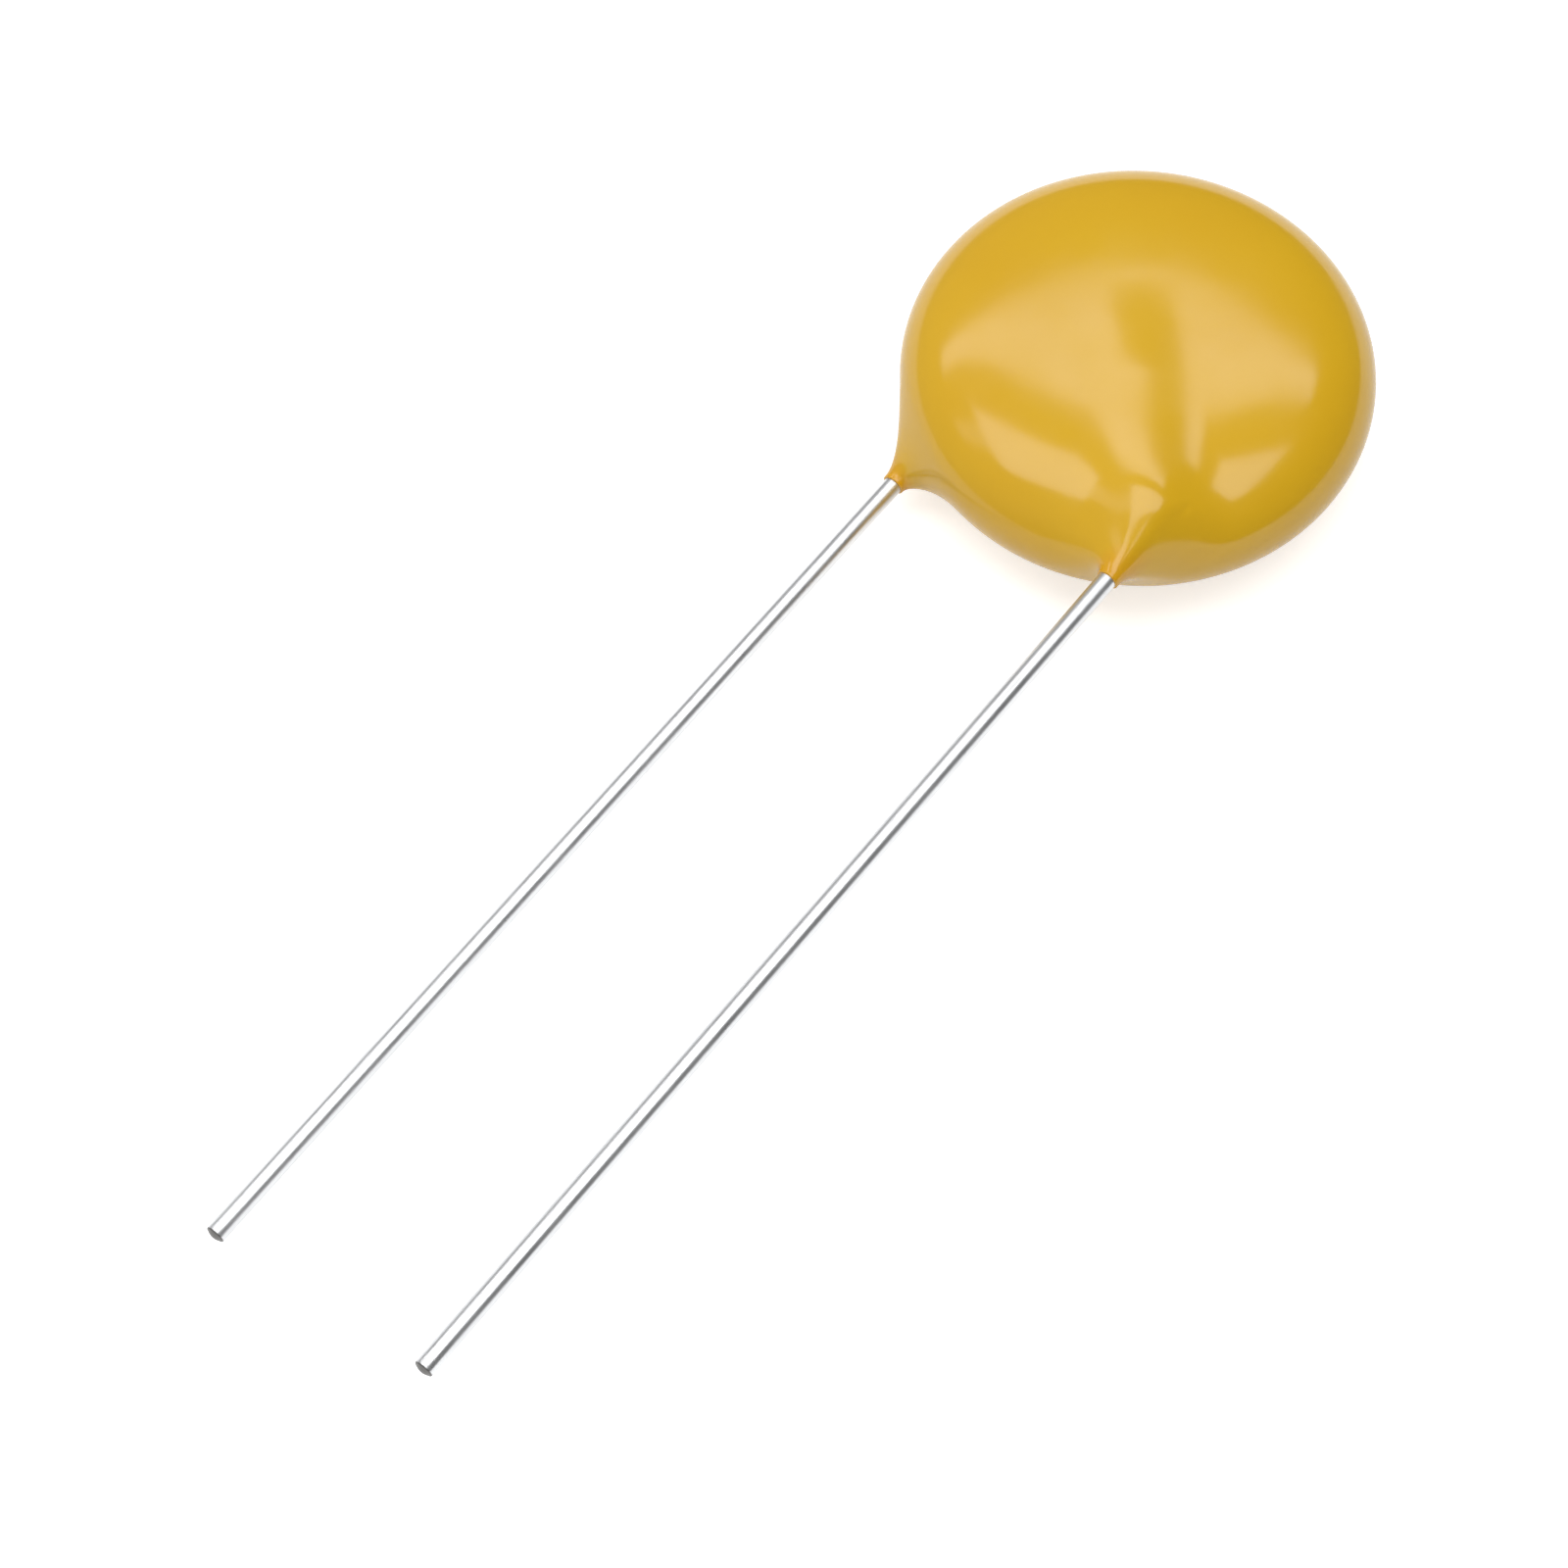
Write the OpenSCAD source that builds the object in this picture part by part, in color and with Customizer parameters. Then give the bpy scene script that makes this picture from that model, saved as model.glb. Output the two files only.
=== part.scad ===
// Metal oxide varistor, radial leaded, dip coated disc type. Millimetres.
// The part lies flat: +Z up through the disc, leads run towards -Y, the
// front lead is the one at +X. The origin is under the middle of the whole part.

/* [Coated body] */
// Diameter of the coated disc
coat_d = 14.5; // [13.6:0.1:18]
// Thickness of the coated disc, beside the ridges over the leads
coat_t = 4.6; // [4.3:0.1:6]
// How flat the faces are: a higher number gives a squarer edge
edge_power = 4.5; // [3.5:0.5:8]

/* [Ceramic disc and electrodes] */
// Diameter of the ceramic disc
ceramic_d = 13; // [11:0.1:13.4]
// Thickness of the ceramic disc
ceramic_t = 1.7; // [1.2:0.1:2]
// Bevel pressed round both edges of the ceramic disc
ceramic_bevel = 0.12; // [0.05:0.01:0.3]
// Bare ceramic border round each electrode
electrode_border = 0.75; // [0.4:0.05:2]
// Thickness of each silver electrode
electrode_t = 0.02; // [0.01:0.01:0.06]

/* [Leads] */
// Diameter of the lead wire
lead_d = 0.6; // [0.45:0.05:0.8]
// Distance between the two leads, centre to centre, across the disc
lead_pitch = 7.9; // [6:0.1:9]
// Length of the leads below the lowest edge of the coated disc
lead_l = 30.9; // [5:0.1:60]
// How far inside the edge of the coated disc each lead turns inwards
turn_depth = 1; // [0.7:0.1:2]
// Radius of that turn, at the middle of the wire
turn_r = 1.5; // [0.8:0.1:2.5]
// How far each lead runs on past the middle of the disc
lead_past = 0.3; // [0:0.1:1.5]

/* [Solder] */
// Thickness of the solder film under each lead
solder_film = 0.04; // [0.04:0.01:0.1]
// Thickness that the solder dip adds to the wire inside the coating
dip_t = 0.01; // [0.005:0.005:0.02]
// Width of the solder beside the lead, where it meets the electrode
solder_foot = 0.4; // [0.2:0.05:0.8]
// Height to which the solder climbs the lead
solder_rise = 0.4; // [0.25:0.01:0.45]
// Soldered length of each lead, back from its end
solder_l = 4.8; // [2:0.1:5.2]

/* [Coating over the leads] */
// Thickness of the coating drawn round each lead where it turns, near the edge
ridge_coat = 1.15; // [0.7:0.05:1.3]
// Thickness of the coating drawn round each lead at the middle of the disc
ridge_coat_mid = 0.35; // [0.2:0.05:0.7]
// Width over which that ridge fades into the face
ridge_fade = 1.25; // [0.6:0.05:1.6]
// How far past the middle of the disc the ridge ends
ridge_past = 2; // [0:0.1:3]
// Length over which that end tapers off
ridge_taper = 3.5; // [1.5:0.1:5]
// How far the coating runs down each lead, past the edge of the disc there
run_down = 1; // [0.6:0.1:2.5]
// Thickness of the coating at the end of that run
run_down_t = 0.06; // [0.04:0.01:0.2]

/* [Clearance] */
// Gap drawn between the pieces that are bonded together
bond_gap = 0.02; // [0.01:0.005:0.03]

/* [Hidden] */
$fn = 48;

coat_r = coat_d / 2;
half_t = coat_t / 2;
lead_r = lead_d / 2;
lead_x = lead_pitch / 2;
electrode_r = ceramic_d / 2 - electrode_border;
electrode_top = ceramic_t / 2 + electrode_t;
dip_r = lead_r + dip_t;
lead_z = electrode_top + solder_film + dip_r;
edge_y = sqrt(coat_r * coat_r - lead_x * lead_x);  // edge of the coated disc, level with a lead
run_end_y = -(edge_y + run_down);
dip_end_y = run_end_y + 0.1;  // the dip stops just inside the end of the coating
lead_end_y = -(coat_r + lead_l);

// The lead turns at a corner beside the edge, and its arm then crosses the middle of the disc.
corner_y = -(edge_y - turn_depth);
turn = atan2(lead_x, -corner_y);
corner_cut = turn_r * tan(turn / 2);
bend_y = corner_y - corner_cut;
arm_reach = norm([lead_x, corner_y]) - corner_cut;
arm_l = arm_reach + lead_past;

// Wire of the lead, with room round it where it cuts its own bed in another piece.
// It is bare up to the coating, and the solder thickens it from there on.
module lead_wire(room = 0, past_end = 0) {
    r = dip_r + room;
    dip_l = bend_y - dip_end_y;
    translate([lead_x, bend_y, lead_z])
        rotate([90, 0, 0]) {
            cylinder(r1 = r, r2 = lead_r + room, h = dip_l);
            translate([0, 0, dip_l])
                cylinder(r = lead_r + room, h = dip_end_y - lead_end_y + past_end);
        }
    translate([lead_x - turn_r, bend_y, lead_z])
        rotate_extrude(angle = turn)
            translate([turn_r, 0])
                circle(r = r);
    rotate([0, 0, turn])
        translate([0, -arm_reach, lead_z])
            rotate([-90, 0, 0])
                cylinder(r = r, h = arm_l + room);
}

module ceramic_blank(room = 0) {
    r = ceramic_d / 2 + room;
    h = ceramic_t / 2 + room;
    rotate_extrude()
        polygon([[0, -h], [r - ceramic_bevel, -h], [r, -h + ceramic_bevel],
                 [r, h - ceramic_bevel], [r - ceramic_bevel, h], [0, h]]);
}

module electrode_layer(room = 0) {
    translate([0, 0, ceramic_t / 2])
        cylinder(r = electrode_r + room, h = electrode_t + room);
}

// Half section of the solder: it thins out from the wire in a hollow curve.
function solder_side(room, steps = 8) = let (
        foot = dip_r + solder_foot + room,
        root = lead_r / 2,
        top = solder_rise + room)
    [for (i = [0 : steps]) let (f = i / steps) [foot + (root - foot) * f, top * f * f]];

module solder_mound(room = 0) {
    side = solder_side(room);
    half = concat([[0, 0]], side, [[0, side[len(side) - 1][1]]]);
    rotate([0, 0, turn])
        translate([0, lead_past, electrode_top]) {
            rotate([90, 0, 0])
                linear_extrude(height = solder_l)
                    polygon(concat(side, [for (i = [len(side) - 1 : -1 : 0]) [-side[i][0], side[i][1]]]));
            for (y = [0, -solder_l])
                translate([0, y, 0])
                    rotate_extrude()
                        polygon(half);
        }
}

// ---- outer skin of the coating, about the middle of the disc ----

skin_turns = [20, 76];  // columns between the leads, and round the rest of the disc
face_rows = 8;
rim_rows = 12;
columns = skin_turns[0] + skin_turns[1];
rows = 2 * face_rows + rim_rows;
face_share = 0.8;  // part of the radius that the face rows cover
rim_angle = acos(pow(face_share, edge_power / 2));
exit_angle = asin(lead_x / (coat_r * pow(1 - pow(lead_z / half_t, 2), 1 / edge_power)));
exit_row = face_rows + rim_rows * (1 - asin(lead_z / half_t) / rim_angle) / 2;

// Direction of a column, as an angle about Z. Columns 0 and skin_turns[0] pass through the leads.
function heading(c) = c <= skin_turns[0]
    ? -90 - exit_angle + 2 * exit_angle * c / skin_turns[0]
    : -90 + exit_angle + (360 - 2 * exit_angle) * (c - skin_turns[0]) / skin_turns[1];

// Radius and height of a row of the plain pillow: (r / R)^p + (z / H)^2 = 1.
function pillow_face(r) = [r, half_t * sqrt(1 - pow(r / coat_r, edge_power))];
function pillow_rim(a) = [coat_r * pow(cos(a), 2 / edge_power), half_t * sin(a)];
function pillow(t) = t < face_rows ? pillow_face(face_share * coat_r * t / face_rows)
    : t > rows - face_rows ? let (q = pillow(rows - t)) [q[0], -q[1]]
    : pillow_rim(rim_angle * (1 - 2 * (t - face_rows) / rim_rows));

// Outward direction of the pillow at radius r and height z.
function pillow_normal(r, z) = let (
        n = [edge_power * pow(r / coat_r, edge_power - 1) / coat_r, 2 * z / (half_t * half_t)])
    n / norm(n);

// Distance in plan from p to the front lead's centre line: straight, turn, arm.
function to_straight(p) = norm([p[0] - lead_x, max(p[1] - bend_y, 0)]);
function to_turn(p) = let (v = [p[0] - lead_x + turn_r, p[1] - bend_y], a = atan2(v[1], v[0]))
    a >= 0 && a <= turn ? abs(norm(v) - turn_r) : coat_d;
function to_arm(p) = let (
        along = -p[0] * sin(turn) + p[1] * cos(turn),
        across = p[0] * cos(turn) + p[1] * sin(turn))
    norm([across, max(-arm_reach - along, 0)]);
function to_lead(p) = norm([min(to_straight(p), to_turn(p), to_arm(p)), p[2] - lead_z]);

function smooth(x) = let (t = min(max(x, 0), 1)) t * t * (3 - 2 * t);

// How far the ridge over the front lead lifts the skin at p: a soft maximum of 0 and the overlap.
// The coating round the lead thickens with the square of the way along the arm, and the ridge
// tapers off past the middle.
function ridge_lift(p) = let (
        along = p[1] * cos(turn) - p[0] * sin(turn),
        way = min(max(-along / arm_reach, 0), 1),
        coat = ridge_coat_mid + (ridge_coat - ridge_coat_mid) * way * way,
        over = lead_r + coat - to_lead(p),
        soft = max(ridge_fade - abs(over), 0))
    smooth((ridge_past - along) / ridge_taper) * (max(over, 0) + soft * soft / (4 * ridge_fade));

// Half a turn about Y takes the front lead to the back one.
function turned(p) = [-p[0], p[1], -p[2]];

function skin(c, t) = let (
        q = pillow(t),
        a = heading((c + columns) % columns),
        p = [q[0] * cos(a), q[0] * sin(a), q[1]],
        n = pillow_normal(q[0], q[1]),
        lift = n[1] > 0 ? ridge_lift(p) : ridge_lift(turned(p)))
    p + lift * n[1] * n[1] * [n[0] * cos(a), n[0] * sin(a), n[1]];

// Each lead leaves through a block of the grid. Its border is drawn down to a ring round the wire.
block_cols = [skin_turns[0] - 6, skin_turns[0] + 4];
block_rows = [face_rows, face_rows + 8];
block_w = block_cols[1] - block_cols[0];
block_h = block_rows[1] - block_rows[0];
border = 2 * (block_w + block_h);
rings = 8;
skin_pull = 1.1;   // how far the sleeve follows the skin, as a share of its length
wire_pull = 1.9;   // how far it follows the wire

// Column, row and angle round the wire of a point on the border, clockwise as seen from the leads.
function border_at(k) =
    k < block_w ? [block_cols[0] + k, block_rows[0], 135 - 90 * k / block_w]
    : k < block_w + block_h ? let (m = k - block_w)
        [block_cols[1], block_rows[0] + m, 45 - 90 * m / block_h]
    : k < 2 * block_w + block_h ? let (m = k - block_w - block_h)
        [block_cols[1] - m, block_rows[1], -45 - 90 * m / block_w]
    : let (m = k - 2 * block_w - block_h)
        [block_cols[0], block_rows[1] - m, -135 - 90 * m / block_h];

function sleeve_point(k, f) = let (
        b = border_at(k),
        start = skin(b[0], b[1]),
        inward = skin(b[0] + (skin_turns[0] - b[0]) / 20, b[1] + (exit_row - b[1]) / 20) - start,
        r = lead_r + run_down_t,
        end = [lead_x + r * cos(b[2]), run_end_y, lead_z + r * sin(b[2])],
        span = norm(end - start),
        g = 1 - f)
    g * g * (1 + 2 * f) * start + f * f * (3 - 2 * f) * end
    + f * g * g * skin_pull * span * inward / norm(inward)
    + f * f * g * wire_pull * span * [0, 1, 0];

front_sleeve = [for (n = [1 : rings]) for (k = [0 : border - 1]) sleeve_point(k, n / rings)];
skin_points = concat(
    [skin(0, 0)],
    [for (t = [1 : rows - 1]) for (c = [0 : columns - 1]) skin(c, t)],
    [skin(0, rows)],
    front_sleeve,
    [for (p = front_sleeve) turned(p)]);

function grid_point(c, t) = t == 0 ? 0
    : t == rows ? 1 + (rows - 1) * columns
    : 1 + (t - 1) * columns + (c + columns) % columns;
function sleeve_index(back, n, k) = let (b = border_at(k % border))
    n > 0 ? 2 + (rows - 1) * columns + (back * rings + n - 1) * border + k % border
    : back == 0 ? grid_point(b[0], b[1])
    : grid_point(skin_turns[0] - b[0], rows - b[1]);
function in_block(c, t) = c >= block_cols[0] && c < block_cols[1] && t >= block_rows[0] && t < block_rows[1];
function in_back_block(c, t) = in_block((skin_turns[0] - 1 - c + columns) % columns, rows - 1 - t);
function split(a, b, c, d) = [[a, b, c], [a, c, d]];

skin_faces = concat(
    [for (c = [0 : columns - 1]) [0, grid_point(c + 1, 1), grid_point(c, 1)]],
    [for (t = [1 : rows - 2]) for (c = [0 : columns - 1]) if (!in_block(c, t) && !in_back_block(c, t))
        each split(grid_point(c, t), grid_point(c + 1, t), grid_point(c + 1, t + 1), grid_point(c, t + 1))],
    [for (c = [0 : columns - 1]) [grid_point(c, rows - 1), grid_point(c + 1, rows - 1), grid_point(0, rows)]],
    [for (s = [0, 1]) for (n = [0 : rings - 1]) for (k = [0 : border - 1])
        each split(sleeve_index(s, n, k), sleeve_index(s, n, k + 1),
                   sleeve_index(s, n + 1, k + 1), sleeve_index(s, n + 1, k))],
    [for (s = [0, 1]) [for (k = [0 : border - 1]) sleeve_index(s, rings, k)]]);

full_half_t = max([for (p = skin_points) p[2]]);  // with the ridges

module coating_skin() {
    polyhedron(points = skin_points, faces = skin_faces, convexity = 6);
}

// ---- where the pieces stand ----

// Moves a piece from the middle of the disc to the part's own frame.
module in_place() {
    translate([0, lead_l / 2, full_half_t])
        children();
}

module back_side() {
    rotate([0, 180, 0])
        children();
}

module epoxy_coating() {
    color("goldenrod")
        in_place()
            difference() {
                coating_skin();
                ceramic_blank(bond_gap);
                electrode_layer(bond_gap);
                back_side() electrode_layer(bond_gap);
                solder_mound(bond_gap);
                back_side() solder_mound(bond_gap);
                lead_wire(bond_gap, 1);
                back_side() lead_wire(bond_gap, 1);
            }
}

module varistor_disc() {
    color("dimgray")
        in_place()
            ceramic_blank();
}

module electrode() {
    color("gainsboro")
        electrode_layer();
}

module solder_joint() {
    color("silver")
        difference() {
            solder_mound();
            lead_wire(bond_gap);
        }
}

module lead() {
    color("lightsteelblue")
        lead_wire();
}

epoxy_coating();
varistor_disc();
in_place() electrode();  // front_electrode
in_place() back_side() electrode();  // back_electrode
in_place() solder_joint();  // front_solder_joint
in_place() back_side() solder_joint();  // back_solder_joint
in_place() lead();  // front_lead
in_place() back_side() lead();  // back_lead
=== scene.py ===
import math
import bpy
import numpy as np
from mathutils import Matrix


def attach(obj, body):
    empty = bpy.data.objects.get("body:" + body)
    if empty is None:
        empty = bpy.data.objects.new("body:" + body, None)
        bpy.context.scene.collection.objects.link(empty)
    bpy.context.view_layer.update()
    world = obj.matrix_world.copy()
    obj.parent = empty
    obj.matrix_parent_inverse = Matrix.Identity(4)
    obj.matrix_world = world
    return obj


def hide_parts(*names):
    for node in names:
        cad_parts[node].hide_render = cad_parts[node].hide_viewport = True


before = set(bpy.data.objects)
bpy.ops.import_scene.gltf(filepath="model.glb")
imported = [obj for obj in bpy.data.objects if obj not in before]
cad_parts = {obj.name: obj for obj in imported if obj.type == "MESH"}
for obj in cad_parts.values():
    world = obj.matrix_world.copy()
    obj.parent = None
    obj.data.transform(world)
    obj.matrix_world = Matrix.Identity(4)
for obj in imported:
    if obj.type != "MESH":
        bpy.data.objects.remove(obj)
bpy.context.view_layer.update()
print("frame loaded:", len(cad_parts), "solids")

mm = 0.001

# sizes shared by the coating and the leads, in mm, about the middle of the disc
varistor = {
    "coatDiameter": 14.5,
    "coatThickness": 4.6,     # beside the ridges over the leads
    "edgePower": 4.5,         # higher gives a squarer edge
    "ceramicDiameter": 13.0,
    "ceramicThickness": 1.7,
    "wireDiameter": 0.6,
    "leadPitch": 7.9,         # across the disc, centre to centre
    "leadHeight": 1.22,       # of the wire's middle above the middle of the disc
    "leadLength": 30.9,       # below the lowest edge of the disc
    "turnDepth": 1.0,
    "turnRadius": 1.5,
    "leadPast": 0.3,          # the arm runs this far past the middle
    "ridgeCoat": 1.15,        # round the lead where it turns
    "ridgeCoatMiddle": 0.35,  # and at the middle of the disc
    "ridgeFade": 1.25,
    "ridgePast": 2.0,         # the ridge ends this far past the middle
    "ridgeTaper": 3.5,        # and fades over this length
    "runDown": 1.0,
    "runDownThickness": 0.06,
    "bondGap": 0.02,
    "discHeight": 2.55173,    # middle of the disc above the floor
    "discOffset": 15.45,      # middle of the disc from the middle of the whole part
}

coatR = varistor["coatDiameter"] / 2
halfT = varistor["coatThickness"] / 2
power = varistor["edgePower"]
wireR = varistor["wireDiameter"] / 2
leadX = varistor["leadPitch"] / 2
leadZ = varistor["leadHeight"]
edgeY = math.sqrt(coatR ** 2 - leadX ** 2)
runEndY = -(edgeY + varistor["runDown"])
tipY = -(coatR + varistor["leadLength"])
cornerY = -(edgeY - varistor["turnDepth"])
turn = math.atan2(leadX, -cornerY)
turnR = varistor["turnRadius"]
cornerCut = turnR * math.tan(turn / 2)
bendY = cornerY - cornerCut
armReach = math.hypot(leadX, cornerY) - cornerCut


# mesh helpers

def toPart(points):
    # from the middle of the disc, in mm, to the part's own frame in metres
    return (points + np.array([0, varistor["discOffset"], varistor["discHeight"]])) * mm


def halfTurn(points):
    # half a turn about Y takes the front lead to the back one
    return points * np.array([-1, 1, -1])


def gridQuads(rowCount, columnCount, closed, first=0):
    # quads between neighbouring rows and columns of a grid of points, row by row;
    # a closed grid joins its last column to its first
    last = columnCount if closed else columnCount - 1
    i, j = np.meshgrid(np.arange(rowCount - 1), np.arange(last), indexing="ij")
    k = (j + 1) % columnCount
    quads = np.stack([i * columnCount + j, i * columnCount + k,
                      (i + 1) * columnCount + k, (i + 1) * columnCount + j], axis=-1)
    return quads.reshape(-1, 4) + first


def fanTriangles(centre, ring):
    # triangles from one centre point to each pair of neighbours round a ring
    return np.stack([np.full(len(ring), centre), ring, np.roll(ring, -1)], axis=1)


def buildMesh(name, points, quads, triangles, attributes=None):
    # puts numpy points and faces into a smooth mesh object, and stores one value a point for each attribute
    mesh = bpy.data.meshes.new(name)
    used, loops = np.unique(np.concatenate([quads.ravel(), triangles.ravel()]), return_inverse=True)
    points = points[used]
    loops = loops.ravel().astype(np.int32)
    totals = np.concatenate([np.full(len(quads), 4), np.full(len(triangles), 3)]).astype(np.int32)
    starts = np.concatenate([[0], np.cumsum(totals)[:-1]]).astype(np.int32)
    mesh.vertices.add(len(points))
    mesh.vertices.foreach_set("co", points.astype(np.float32).ravel())
    mesh.loops.add(len(loops))
    mesh.loops.foreach_set("vertex_index", loops)
    mesh.polygons.add(len(totals))
    mesh.polygons.foreach_set("loop_start", starts)
    mesh.update(calc_edges=True)
    mesh.polygons.foreach_set("use_smooth", np.ones(len(totals), bool))
    for key, values in (attributes or {}).items():
        layer = mesh.attributes.new(key, "FLOAT", "POINT")
        layer.data.foreach_set("value", values[used].astype(np.float32))
    mesh.validate()
    piece = bpy.data.objects.new(name, mesh)
    bpy.context.scene.collection.objects.link(piece)
    return piece


def relax(points, quads, triangles, weight, rounds):
    # each round moves every point by half its weight towards the mean of its neighbours
    starts = np.concatenate([quads.ravel(), triangles.ravel()])
    ends = np.concatenate([np.roll(quads, -1, axis=1).ravel(), np.roll(triangles, -1, axis=1).ravel()])
    count = np.maximum(np.bincount(starts, minlength=len(points)), 1)[:, None]
    for _ in range(rounds):
        total = np.stack([np.bincount(starts, points[ends, k], len(points)) for k in range(3)], axis=1)
        points = points + weight[:, None] / 2 * (total / count - points)
    return points


# the coating: one closed skin with a bed for each piece inside

coating = {
    "finer": 4,                    # grid lines for each one of the solid's
    "faceShare": 0.8,              # part of the radius that the face rows cover
    "betweenLeads": 20,            # columns between the leads, and round the rest
    "roundTheRest": 76,
    "faceRows": 8,
    "rimRows": 12,
    "skinPull": 1.0,               # how far the sleeve follows the skin, as a share of its length
    "wirePull": 0.8,               # how far it follows the wire
    "sleeveRings": 36,
    "lipLength": 0.03,
    "lipGap": 0.002,               # the lip ends this far off the wire
    "bedStart": 0.1,               # the wire's bed starts this far in from the run-down's end
    "bedRings": 40,
    "bedBevel": 0.12,              # along the edges of the ceramic's bed
    "bedColumns": 96,
    "blockBefore": 6,              # columns that the sleeve replaces on one side of the lead,
    "blockAfter": 4,               # on the other side,
    "blockDepth": 8,               # and rows
    "relaxReach": 2.3,             # round each lead's way out the skin is relaxed to a smooth web,
    "relaxFade": 1.3,              # which fades in over this length
    "relaxRounds": 100,
    "relaxCover": 0.07,            # and only where the coat is thicker over the wire than this,
    "relaxCoverFade": 0.3,         # fading in over this thickness
    "fit": (0.9998, 1.0, 0.9961),  # takes the smooth skin just inside the solid's box
}

columns = coating["betweenLeads"] + coating["roundTheRest"]
rows = 2 * coating["faceRows"] + coating["rimRows"]
rimAngle = math.acos(coating["faceShare"] ** (power / 2))
exitAngle = math.asin(leadX / (coatR * (1 - (leadZ / halfT) ** 2) ** (1 / power)))
exitRow = coating["faceRows"] + coating["rimRows"] * (1 - math.asin(leadZ / halfT) / rimAngle) / 2


def headings(c):
    # direction of each column as an angle about Z; columns 0 and 20 pass through the leads
    c = np.mod(c, columns)
    near = -math.pi / 2 - exitAngle + 2 * exitAngle * c / coating["betweenLeads"]
    far = (-math.pi / 2 + exitAngle
           + (2 * math.pi - 2 * exitAngle) * (c - coating["betweenLeads"]) / coating["roundTheRest"])
    return np.where(c <= coating["betweenLeads"], near, far)


def pillow(t):
    # radius and height of row t of the plain pillow, (r / R)^p + (z / H)^2 = 1:
    # face rows are even in radius, rim rows even in the angle a of r = R cos(a)^(2/p), z = H sin(a)
    back = t > rows / 2
    u = np.where(back, rows - t, t)
    faceR = coating["faceShare"] * coatR * np.minimum(u, coating["faceRows"]) / coating["faceRows"]
    faceZ = halfT * np.sqrt(1 - (faceR / coatR) ** power)
    a = rimAngle * (1 - 2 * (np.maximum(u, coating["faceRows"]) - coating["faceRows"]) / coating["rimRows"])
    a = np.maximum(a, 0)
    face = u < coating["faceRows"]
    r = np.where(face, faceR, coatR * np.cos(a) ** (2 / power))
    z = np.where(face, faceZ, halfT * np.sin(a))
    return r, np.where(back, -z, z)


def leadPlan(points):
    # distance in plan from each point to the front lead's centre line: straight, turn, arm
    x, y = points[..., 0], points[..., 1]
    straight = np.hypot(x - leadX, np.maximum(y - bendY, 0))
    vx, vy = x - leadX + turnR, y - bendY
    angle = np.arctan2(vy, vx)
    inTurn = (angle >= 0) & (angle <= turn)
    bend = np.where(inTurn, np.abs(np.hypot(vx, vy) - turnR), 99.0)
    along = -x * math.sin(turn) + y * math.cos(turn)
    across = x * math.cos(turn) + y * math.sin(turn)
    past = np.maximum(-armReach - along, 0)
    return np.minimum(np.minimum(straight, bend), np.hypot(across, past))


def leadDistance(points):
    # distance to the front lead's centre line: the plan distance and the height combined as a hypotenuse
    return np.hypot(leadPlan(points), points[..., 2] - leadZ)


def wireGap(points):
    # distance to the front lead's surface; the arm ends a little past the middle
    along = points[..., 1] * math.cos(turn) - points[..., 0] * math.sin(turn)
    return np.hypot(leadDistance(points), np.maximum(along - varistor["leadPast"], 0)) - wireR


def wireCover(points):
    # distance to the surface of the nearer lead, up to 1.5
    return np.minimum(np.minimum(wireGap(points), wireGap(halfTurn(points))), 1.5)


def smoothStep(x):
    # 3 x^2 - 2 x^3 between 0 and 1
    x = np.clip(x, 0, 1)
    return x * x * (3 - 2 * x)


def ridgeLift(points):
    # lift of the skin over the front lead: a soft maximum of 0 and the overlap; the coat round the lead
    # thickens with the square of the way along the arm, and the ridge tapers off past the middle
    along = points[..., 1] * math.cos(turn) - points[..., 0] * math.sin(turn)
    coat = (varistor["ridgeCoatMiddle"]
            + (varistor["ridgeCoat"] - varistor["ridgeCoatMiddle"]) * np.clip(-along / armReach, 0, 1) ** 2)
    over = wireR + coat - leadDistance(points)
    fade = varistor["ridgeFade"]
    soft = np.maximum(fade - np.abs(over), 0)
    return (smoothStep((varistor["ridgePast"] - along) / varistor["ridgeTaper"])
            * (np.maximum(over, 0) + soft ** 2 / (4 * fade)))


def skin(c, t):
    # point of the outer skin at column c and row t: the pillow, raised along its normal by both ridges,
    # each times the square of how far that normal faces the lead's own side
    r, z = pillow(t)
    a = headings(c)
    nr = power * (r / coatR) ** (power - 1) / coatR
    nz = 2 * z / halfT ** 2
    size = np.hypot(nr, nz)
    flat = np.stack([r * np.cos(a), r * np.sin(a), z], axis=-1)
    normal = np.stack([nr * np.cos(a), nr * np.sin(a), nz], axis=-1) / size[..., None]
    up = nz / size
    lift = (ridgeLift(flat) * np.maximum(up, 0) ** 2
            + ridgeLift(halfTurn(flat)) * np.maximum(-up, 0) ** 2)
    return flat + lift[..., None] * normal


# columns and rows of the block that the front sleeve replaces
blockColumns = (coating["betweenLeads"] - coating["blockBefore"],
                coating["betweenLeads"] + coating["blockAfter"])
blockRows = (coating["faceRows"], coating["faceRows"] + coating["blockDepth"])


def blockBorder(n):
    # column, row and angle round the wire of n points a grid step along the block's border,
    # clockwise as seen from the leads
    w = blockColumns[1] - blockColumns[0]
    h = blockRows[1] - blockRows[0]
    s = np.arange(w * n) / n
    v = np.arange(h * n) / n
    c = np.concatenate([blockColumns[0] + s, np.full(h * n, blockColumns[1]),
                        blockColumns[1] - s, np.full(h * n, blockColumns[0])])
    t = np.concatenate([np.full(w * n, blockRows[0]), blockRows[0] + v,
                        np.full(w * n, blockRows[1]), blockRows[1] - v])
    b = np.concatenate([135 - 90 * s / w, 45 - 90 * v / h, -45 - 90 * s / w, -135 - 90 * v / h])
    return c, t, np.radians(b)


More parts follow.
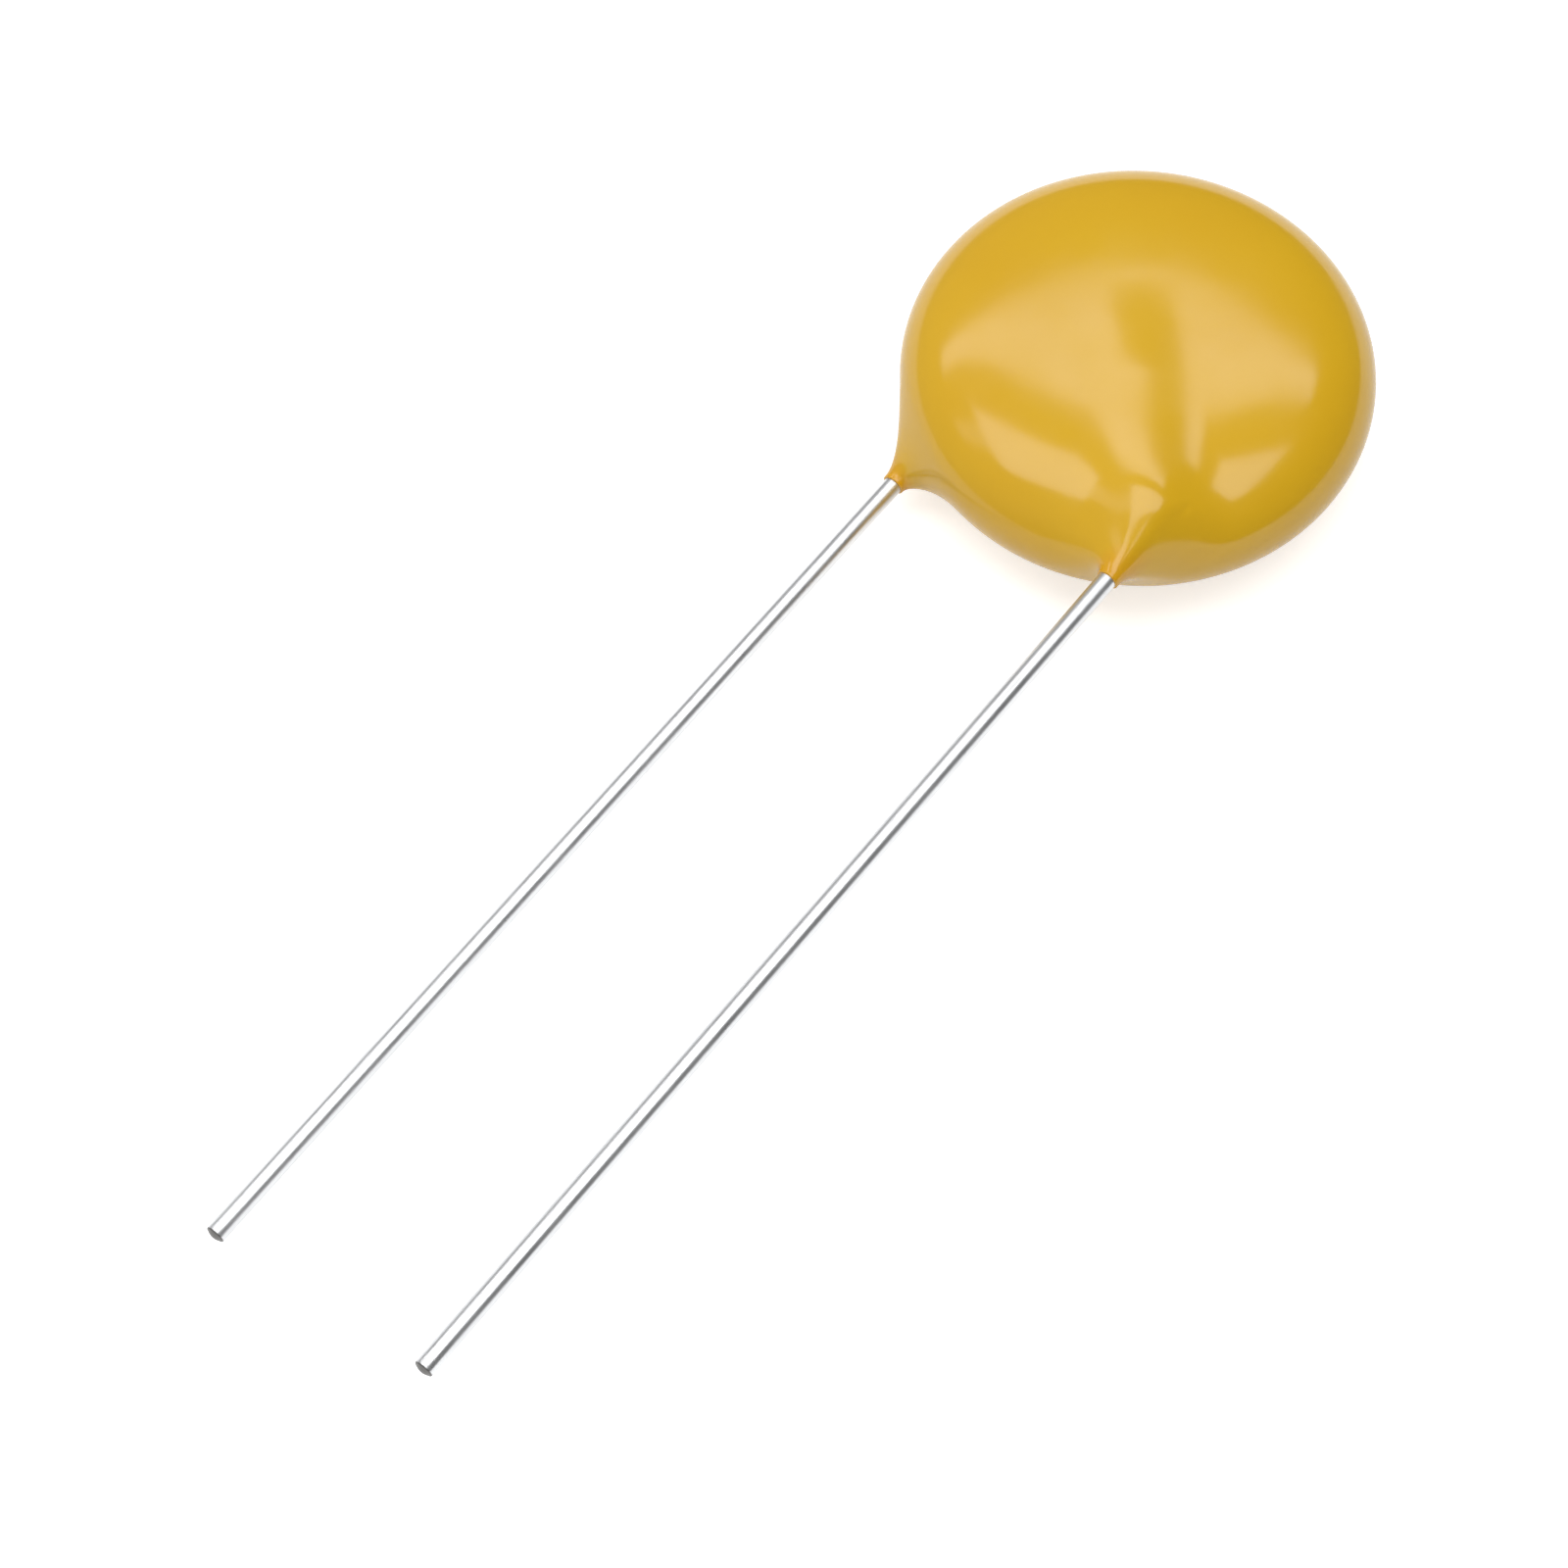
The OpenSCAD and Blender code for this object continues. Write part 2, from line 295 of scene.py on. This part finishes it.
def wireRing(radius, angles, along):
    # ring of points round the front lead, at a distance inwards from the run-down's end:
    # up the straight, round the turn, then along the arm
    straight = bendY - runEndY
    arc = turnR * turn
    if along < straight:
        middle, heading = np.array([leadX, runEndY + along]), 0.0
    elif along < straight + arc:
        heading = (along - straight) / turnR
        middle = np.array([leadX - turnR + turnR * math.cos(heading), bendY + turnR * math.sin(heading)])
    else:
        heading = turn
        reach = -armReach + along - straight - arc
        middle = np.array([-math.sin(turn) * reach, math.cos(turn) * reach])
    side = radius * np.cos(angles)
    return np.stack([middle[0] + side * math.cos(heading), middle[1] + side * math.sin(heading),
                     leadZ + radius * np.sin(angles)], axis=-1)


def frontSleeve(n):
    # rings from the block's border down to the wire: a cubic from the skin's slope to the wire's direction,
    # then a rounded lip that closes on the wire, then the wire's own bed inside
    c, t, b = blockBorder(n)
    start = skin(c, t)
    toExit = skin(c + (coating["betweenLeads"] - c) / 500, t + (exitRow - t) / 500) - start
    toExit /= np.linalg.norm(toExit, axis=1)[:, None]
    edge = wireR + varistor["runDownThickness"]
    end = wireRing(edge, b, 0)
    span = np.linalg.norm(end - start, axis=1)[:, None]
    f = (np.arange(1, coating["sleeveRings"] + 1) / coating["sleeveRings"])[:, None, None]
    g = 1 - f
    sleeve = (g ** 2 * (1 + 2 * f) * start + f ** 2 * (3 - 2 * f) * end
              + f * g ** 2 * coating["skinPull"] * span * toExit
              + f ** 2 * g * coating["wirePull"] * span * np.array([0, 1, 0]))
    lipR = wireR + coating["lipGap"]
    lip = [wireRing(lipR + (edge - lipR) * math.cos(a), b, -coating["lipLength"] * math.sin(a))
           for a in np.radians([22.5, 45, 67.5, 90])]
    bedEnd = bendY - runEndY + turnR * turn + armReach + varistor["leadPast"] + varistor["bondGap"]
    bed = [wireRing(wireR + varistor["bondGap"], b, s)
           for s in np.linspace(coating["bedStart"], bedEnd, coating["bedRings"])]
    return np.concatenate([sleeve, np.stack(lip), np.stack(bed)])


def makeCoating():
    # the skin's grid closed by a point at each pole, less a block of it at each lead, which a sleeve fills;
    # the back sleeve is the front one after half a turn
    n = coating["finer"]
    columnCount, rowCount = columns * n, rows * n
    c = np.arange(columnCount) / n
    t = np.arange(1, rowCount) / n
    cc, tt = np.meshgrid(c, t)
    body = skin(cc, tt).reshape(-1, 3)
    poles = skin(np.zeros(2), np.array([0.0, rows]))
    front = frontSleeve(n)
    ringCount, around = front.shape[:2]
    sleeves = np.concatenate([front.reshape(-1, 3), halfTurn(front.reshape(-1, 3))])
    bedTips = np.stack([front[-1].mean(axis=0), halfTurn(front[-1].mean(axis=0))])
    shell = cavity()
    points = np.concatenate([body, poles, sleeves, bedTips, shell.reshape(-1, 3)])

    # body quads, rows downwards, without the two blocks that the leads leave through
    quads = gridQuads(rowCount - 1, columnCount, True)[:, ::-1]
    i, j = np.meshgrid(np.arange(rowCount - 2), np.arange(columnCount), indexing="ij")
    i, j = (i.ravel() + 1) / n, j.ravel() / n
    inFront = ((j >= blockColumns[0]) & (j < blockColumns[1]) & (i >= blockRows[0]) & (i < blockRows[1]))
    mj = np.mod(coating["betweenLeads"] - 1 / n - j, columns)
    mi = rows - 1 / n - i
    inBack = ((mj >= blockColumns[0] - 1e-6) & (mj < blockColumns[1] - 1e-6)
              & (mi >= blockRows[0] - 1e-6) & (mi < blockRows[1] - 1e-6))
    quads = quads[~(inFront | inBack)]

    # sleeve quads: the first ring joins the block's border in the body grid
    bc, bt, _ = blockBorder(n)
    poleBase = len(body)
    sleeveBase = poleBase + 2
    tipBase = sleeveBase + len(sleeves)
    allQuads, allTriangles = [quads], []
    for side in (0, 1):
        col = np.round((bc if side == 0 else coating["betweenLeads"] - bc) * n).astype(int) % columnCount
        row = np.round((bt if side == 0 else rows - bt) * n).astype(int) - 1
        border = row * columnCount + col
        first = sleeveBase + side * ringCount * around
        ring = first + np.arange(around)
        joined = np.stack([border, ring, np.roll(ring, -1), np.roll(border, -1)], axis=1)
        inner = gridQuads(ringCount, around, True, first)
        allQuads += [joined, inner[:, ::-1]]
        lastRing = first + (ringCount - 1) * around + np.arange(around)
        allTriangles.append(fanTriangles(tipBase + side, lastRing)[:, ::-1])
    top = np.arange(columnCount)
    bottom = (rowCount - 2) * columnCount + top
    allTriangles += [fanTriangles(poleBase, top), fanTriangles(poleBase + 1, bottom)[:, ::-1]]

    # the cavity for the ceramic faces inwards
    shellBase = tipBase + 2
    shellRows, shellColumns = shell.shape[:2]
    allQuads.append(gridQuads(shellRows, shellColumns, True, shellBase))
    quads, triangles = np.concatenate(allQuads), np.concatenate(allTriangles)
    wayOut = np.array([leadX, -edgeY, leadZ])
    away = np.minimum(np.linalg.norm(points - wayOut, axis=1),
                      np.linalg.norm(halfTurn(points) - wayOut, axis=1))
    weight = (smoothStep((coating["relaxReach"] - away) / coating["relaxFade"])
              * smoothStep((wireCover(points) - coating["relaxCover"]) / coating["relaxCoverFade"]))
    weight[tipBase:] = 0
    points = relax(points, quads, triangles, weight, coating["relaxRounds"]) * np.array(coating["fit"])
    return buildMesh("epoxyCoating", toPart(points), quads, triangles, {"overWire": wireCover(points)})


def cavity():
    # the ceramic's own bed: a bevelled disc turned about Z, closed to a small ring at each pole
    r = varistor["ceramicDiameter"] / 2 + varistor["bondGap"]
    h = varistor["ceramicThickness"] / 2 + varistor["bondGap"]
    bevel = coating["bedBevel"]
    count = coating["bedColumns"]
    profile = np.array([[0.001, -h], [r - bevel, -h], [r, -h + bevel],
                        [r, h - bevel], [r - bevel, h], [0.001, h]])
    a = np.arange(count) * 2 * math.pi / count
    return np.stack([profile[:, 0][:, None] * np.cos(a), profile[:, 0][:, None] * np.sin(a),
                     np.repeat(profile[:, 1][:, None], count, axis=1)], axis=-1)


coat = makeCoating()
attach(coat, "root")
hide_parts("epoxy_coating")
print("coating:", len(coat.data.polygons), "faces")


# the leads

lead = {
    "around": 48,
    "bevel": 0.06,        # worn round the cut end
    "dome": 0.07,         # the cut end stands out in the middle
    "drawMarks": 0.0012,  # how far the drawn surface wanders from round
}


def makeLead(name, back):
    # round wire carried along the lead's centre line, closed by its cut end below and a flat end inside
    tip = tipY - runEndY
    inside = bendY - runEndY + turnR * turn + armReach + varistor["leadPast"]
    shoulder = tip + lead["dome"] + lead["bevel"]
    straight = np.linspace(shoulder, bendY - runEndY, 60)[1:]
    bent = bendY - runEndY + np.linspace(0, turnR * turn, 12)[1:]
    arm = np.linspace(bent[-1], inside, 12)[1:]
    along = np.concatenate([straight, bent, arm])
    b = np.arange(lead["around"]) * 2 * math.pi / lead["around"]
    marks = wireR + lead["drawMarks"] * (np.cos(5 * b + 0.4) + np.cos(9 * b + 2.1) - 1.9) / 2
    face = [wireRing(share * (wireR - lead["bevel"]), b, tip + lead["dome"] * share ** 2)
            for share in (0.02, 0.25, 0.5, 0.75, 1)]
    edge = [wireRing(wireR - lead["bevel"] * (1 - math.sin(a)), b, shoulder - lead["bevel"] * math.cos(a))
            for a in np.radians([30, 60, 90])]
    rings = np.stack(face + edge + [wireRing(marks, b, s) for s in along])
    ends = np.stack([rings[0].mean(axis=0), rings[-1].mean(axis=0)])
    points = np.concatenate([rings.reshape(-1, 3), ends])
    if back:
        points = halfTurn(points)
    count, around = rings.shape[:2]
    quads = gridQuads(count, around, True)
    base = count * around
    triangles = np.concatenate([fanTriangles(base, np.arange(around))[:, ::-1],
                                fanTriangles(base + 1, (count - 1) * around + np.arange(around))])
    flags = np.zeros(len(points))
    flags[:7 * around] = 1
    flags[base] = 1
    return buildMesh(name, toPart(points), quads, triangles, {"cutEnd": flags})


for name, node, back in (("frontLead", "front_lead", False), ("backLead", "back_lead", True)):
    piece = makeLead(name, back)
    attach(piece, "root")
    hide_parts(node)
print("leads made")


# materials, all in object coordinates

def newMaterial(name):
    # an empty material with its nodes, its links and its main shader
    material = bpy.data.materials.new(name)
    material.use_nodes = True
    nodes = material.node_tree.nodes
    return material, nodes, material.node_tree.links, nodes["Principled BSDF"]


def noise(nodes, links, source, scale, detail=3.0, roughness=0.5):
    # cloud noise between 0 and 1 with about scale blobs a metre
    node = nodes.new("ShaderNodeTexNoise")
    node.inputs["Scale"].default_value = scale
    node.inputs["Detail"].default_value = detail
    node.inputs["Roughness"].default_value = roughness
    links.new(source, node.inputs["Vector"])
    return node.outputs["Fac"]


def spread(nodes, links, value, low, high, fromLow=0.3, fromHigh=0.7):
    # low + (high - low) (value - fromLow) / (fromHigh - fromLow), held between low and high
    node = nodes.new("ShaderNodeMapRange")
    node.inputs["From Min"].default_value = fromLow
    node.inputs["From Max"].default_value = fromHigh
    node.inputs["To Min"].default_value = low
    node.inputs["To Max"].default_value = high
    links.new(value, node.inputs["Value"])
    return node.outputs["Result"]


def blendColours(nodes, links, factor, first, second):
    # first (1 - factor) + second factor; each of them is a colour or a socket
    node = nodes.new("ShaderNodeMix")
    node.data_type = "RGBA"
    links.new(factor, node.inputs[0])
    for socket, value in ((node.inputs[6], first), (node.inputs[7], second)):
        if isinstance(value, tuple):
            socket.default_value = value + (1.0,)
        else:
            links.new(value, socket)
    return node.outputs[2]


def bump(nodes, links, height, strength, distance, under=None):
    # tilts the normal as if the surface stood out by strength times height times distance, in metres
    node = nodes.new("ShaderNodeBump")
    node.inputs["Strength"].default_value = strength
    node.inputs["Distance"].default_value = distance
    links.new(height, node.inputs["Height"])
    if under is not None:
        links.new(under, node.inputs["Normal"])
    return node.outputs["Normal"]


epoxy = {
    "main": (0.735, 0.434, 0.009),
    "deeper": (0.71, 0.405, 0.007),
    "thin": (0.73, 0.365, 0.006),
    "roughness": (0.13, 0.18),
    "orangePeel": 0.000004,    # metres
    "grain": 0.0000002,
    "cloudScale": 180,         # blobs a metre
    "speckScale": 5200,
    "roughnessScale": 900,
    "peelScale": 700,
    "grainScale": 9000,
    "thinCover": (0.05, 0.4),  # mm over the wire, fully redder and no longer so
    "refraction": 1.55,
}


def makeEpoxy():
    # clouds and specks of a deeper tone, a redder tone where the coat thins over the wire, and orange peel
    material, nodes, links, shader = newMaterial("dippedEpoxy")
    where = nodes.new("ShaderNodeTexCoord").outputs["Object"]
    cloud = spread(nodes, links, noise(nodes, links, where, epoxy["cloudScale"], 2), 0, 1)
    speck = spread(nodes, links, noise(nodes, links, where, epoxy["speckScale"], 2), 0.0, 0.25)
    colour = blendColours(nodes, links, cloud, epoxy["main"], epoxy["deeper"])
    colour = blendColours(nodes, links, speck, colour, epoxy["deeper"])
    over = nodes.new("ShaderNodeAttribute")
    over.attribute_name = "overWire"
    thin = spread(nodes, links, over.outputs["Fac"], 1.0, 0.0, *epoxy["thinCover"])
    colour = blendColours(nodes, links, thin, colour, epoxy["thin"])
    links.new(colour, shader.inputs["Base Color"])
    dulling = noise(nodes, links, where, epoxy["roughnessScale"], 3)
    links.new(spread(nodes, links, dulling, *epoxy["roughness"]), shader.inputs["Roughness"])
    peel = bump(nodes, links, noise(nodes, links, where, epoxy["peelScale"], 2), 1.0, epoxy["orangePeel"])
    fine = bump(nodes, links, noise(nodes, links, where, epoxy["grainScale"], 2), 1.0, epoxy["grain"], peel)
    links.new(fine, shader.inputs["Normal"])
    shader.inputs["IOR"].default_value = epoxy["refraction"]
    return material


tinned = {
    "bright": (0.86, 0.87, 0.88),
    "dull": (0.72, 0.73, 0.75),
    "cut": (0.17, 0.165, 0.16),
    "roughness": (0.27, 0.36),
    "streakStretch": 0.02,
    "streakScale": 14000,
    "patchScale": 900,
    "streakDepth": 0.0000001,  # metres
    "patchDepth": 0.0000002,
}


def makeTinned():
    # bright metal with draw streaks along Y, worn patches and a dark cut end
    material, nodes, links, shader = newMaterial("tinnedWire")
    where = nodes.new("ShaderNodeTexCoord").outputs["Object"]
    stretch = nodes.new("ShaderNodeMapping")
    stretch.inputs["Scale"].default_value = (1, tinned["streakStretch"], 1)
    links.new(where, stretch.inputs["Vector"])
    streaks = noise(nodes, links, stretch.outputs["Vector"], tinned["streakScale"], 3)
    patches = noise(nodes, links, where, tinned["patchScale"], 3)
    worn = spread(nodes, links, streaks, 0.0, 0.6)
    colour = blendColours(nodes, links, worn, tinned["bright"], tinned["dull"])
    end = nodes.new("ShaderNodeAttribute")
    end.attribute_name = "cutEnd"
    colour = blendColours(nodes, links, end.outputs["Fac"], colour, tinned["cut"])
    links.new(colour, shader.inputs["Base Color"])
    links.new(spread(nodes, links, patches, *tinned["roughness"]), shader.inputs["Roughness"])
    grain = bump(nodes, links, streaks, 1.0, tinned["streakDepth"])
    links.new(bump(nodes, links, patches, 1.0, tinned["patchDepth"], grain), shader.inputs["Normal"])
    shader.inputs["Metallic"].default_value = 1.0
    return material


def makeInner(name, light, dark, metallic, roughness, scale):
    # plain inner finish: two tones and a grain, and a roughness that follows it by 0.06 each way
    material, nodes, links, shader = newMaterial(name)
    where = nodes.new("ShaderNodeTexCoord").outputs["Object"]
    grain = noise(nodes, links, where, scale, 4)
    colour = blendColours(nodes, links, spread(nodes, links, grain, 0, 1), light, dark)
    links.new(colour, shader.inputs["Base Color"])
    links.new(spread(nodes, links, grain, roughness - 0.06, roughness + 0.06), shader.inputs["Roughness"])
    links.new(bump(nodes, links, grain, 1.0, 0.000003), shader.inputs["Normal"])
    shader.inputs["Metallic"].default_value = metallic
    return material


def dress(piece, material):
    # gives a piece one material in place of those it has
    piece.data.materials.clear()
    piece.data.materials.append(material)


wireMaterial = makeTinned()
dress(coat, makeEpoxy())
for name in ("frontLead", "backLead"):
    dress(bpy.data.objects[name], wireMaterial)
ceramic = makeInner("zincOxideCeramic", (0.13, 0.14, 0.14), (0.08, 0.09, 0.095), 0.0, 0.75, 4000)
silver = makeInner("firedSilver", (0.86, 0.86, 0.84), (0.72, 0.72, 0.70), 1.0, 0.45, 6000)
solder = makeInner("solderJoint", (0.74, 0.75, 0.77), (0.60, 0.61, 0.63), 1.0, 0.3, 3000)
for node, material in (("varistor_disc", ceramic), ("front_electrode", silver), ("back_electrode", silver),
                       ("front_solder_joint", solder), ("back_solder_joint", solder)):
    dress(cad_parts[node], material)
print("materials set")


# floor, light and camera

studio = {
    "floorSize": 2.0,
    "floorColour": (0.8, 0.8, 0.8),
    "floorGlow": 0.6,         # what the camera sees of the floor without light on it
    "mirrorGlow": 0.40,       # what a shiny surface sees of it
    "brightSide": (-0.55, -0.45, 0.70),
    "worldBright": 0.47,      # the surroundings fade from the bright side to the other
    "worldDim": 0.16,
    "fadeSpan": (-0.1, 0.8),  # from dim to bright, as the cosine of the angle to the bright side
}


def makeFloor():
    # a flat square sheet
    half = studio["floorSize"] / 2
    corners = np.array([[-half, -half, 0], [half, -half, 0], [half, half, 0], [-half, half, 0]])
    floor = buildMesh("studioFloor", corners, np.array([[0, 1, 2, 3]]), np.zeros((0, 3), int))
    material, nodes, links, shader = newMaterial("studioFloor")
    shader.inputs["Base Color"].default_value = studio["floorColour"] + (1.0,)
    shader.inputs["Roughness"].default_value = 0.9
    shader.inputs["Specular IOR Level"].default_value = 0.0
    path = nodes.new("ShaderNodeLightPath")
    mirrored = nodes.new("ShaderNodeMath")
    mirrored.operation = "MAXIMUM"
    links.new(path.outputs["Is Glossy Ray"], mirrored.inputs[0])
    links.new(path.outputs["Is Transmission Ray"], mirrored.inputs[1])
    dim = nodes.new("ShaderNodeMath")
    dim.operation = "MULTIPLY"
    dim.inputs[1].default_value = studio["mirrorGlow"]
    links.new(mirrored.outputs[0], dim.inputs[0])
    glow = nodes.new("ShaderNodeMath")
    glow.operation = "MULTIPLY_ADD"
    glow.inputs[1].default_value = studio["floorGlow"]
    links.new(path.outputs["Is Camera Ray"], glow.inputs[0])
    links.new(dim.outputs[0], glow.inputs[2])
    shader.inputs["Emission Color"].default_value = (1, 1, 1, 1)
    links.new(glow.outputs[0], shader.inputs["Emission Strength"])
    dress(floor, material)
    return floor


makeFloor()


def makeWorld():
    # white to the camera; otherwise it fades from the bright side, high on the left, to the other
    world = bpy.data.worlds.new("studioWorld")
    bpy.context.scene.world = world
    world.use_nodes = True
    nodes, links = world.node_tree.nodes, world.node_tree.links
    background = nodes["Background"]
    background.inputs["Color"].default_value = (1, 1, 1, 1)
    towards = nodes.new("ShaderNodeVectorMath")
    towards.operation = "DOT_PRODUCT"
    towards.inputs[1].default_value = studio["brightSide"]
    links.new(nodes.new("ShaderNodeTexCoord").outputs["Generated"], towards.inputs[0])
    fading = spread(nodes, links, towards.outputs["Value"], studio["worldDim"], studio["worldBright"],
                    *studio["fadeSpan"])
    path = nodes.new("ShaderNodeLightPath")
    either = nodes.new("ShaderNodeMath")
    either.operation = "MAXIMUM"
    links.new(path.outputs["Is Camera Ray"], either.inputs[0])
    links.new(fading, either.inputs[1])
    links.new(either.outputs[0], background.inputs["Strength"])


makeWorld()

# softboxes: middle and size in metres, angles in degrees, brightness beside a white of 1
softboxes = [
    {"name": "keySoftbox", "place": (0.0, 0.010, 0.40), "angles": (0, 0, 28.0),
     "size": (0.54, 0.20), "brightness": 2.6},
    {"name": "farStrip", "place": (-0.240, 0.175, 0.40), "angles": (0, 0, 28.7),
     "size": (0.80, 0.080), "brightness": 2.9},
    {"name": "leftStrip", "place": (-0.330, -0.170, 0.40), "angles": (0, 0, 38.0),
     "size": (0.30, 0.084), "brightness": 1.0},
    {"name": "fillSoftbox", "place": (0.209, -0.263, 0.40), "angles": (0, 0, 40.2),
     "size": (0.24, 0.34), "brightness": 1.4},
]


def makeSoftbox(spec):
    # an even lamp: power = brightness * pi * area
    lamp = bpy.data.lights.new(spec["name"], "AREA")
    lamp.shape = "RECTANGLE"
    lamp.size, lamp.size_y = spec["size"]
    lamp.energy = spec["brightness"] * math.pi * lamp.size * lamp.size_y
    box = bpy.data.objects.new(spec["name"], lamp)
    bpy.context.scene.collection.objects.link(box)
    box.location = spec["place"]
    box.rotation_euler = [math.radians(a) for a in spec["angles"]]


for spec in softboxes:
    makeSoftbox(spec)

view = {
    "place": (0.037087, -0.046439, 0.109952),
    "angles": (28.1603, 0.9271, 38.1324),
    "lens": 96.576,
}
cameraData = bpy.data.cameras.new("camera")
cameraData.sensor_width = 36
cameraData.lens = view["lens"]
cameraData.clip_start = 0.001
cameraData.clip_end = 20
camera = bpy.data.objects.new("camera", cameraData)
camera.location = view["place"]
camera.rotation_euler = [math.radians(a) for a in view["angles"]]
bpy.context.scene.collection.objects.link(camera)
bpy.context.scene.camera = camera
bpy.context.scene.view_settings.view_transform = "Standard"
print("floor, light and camera set")
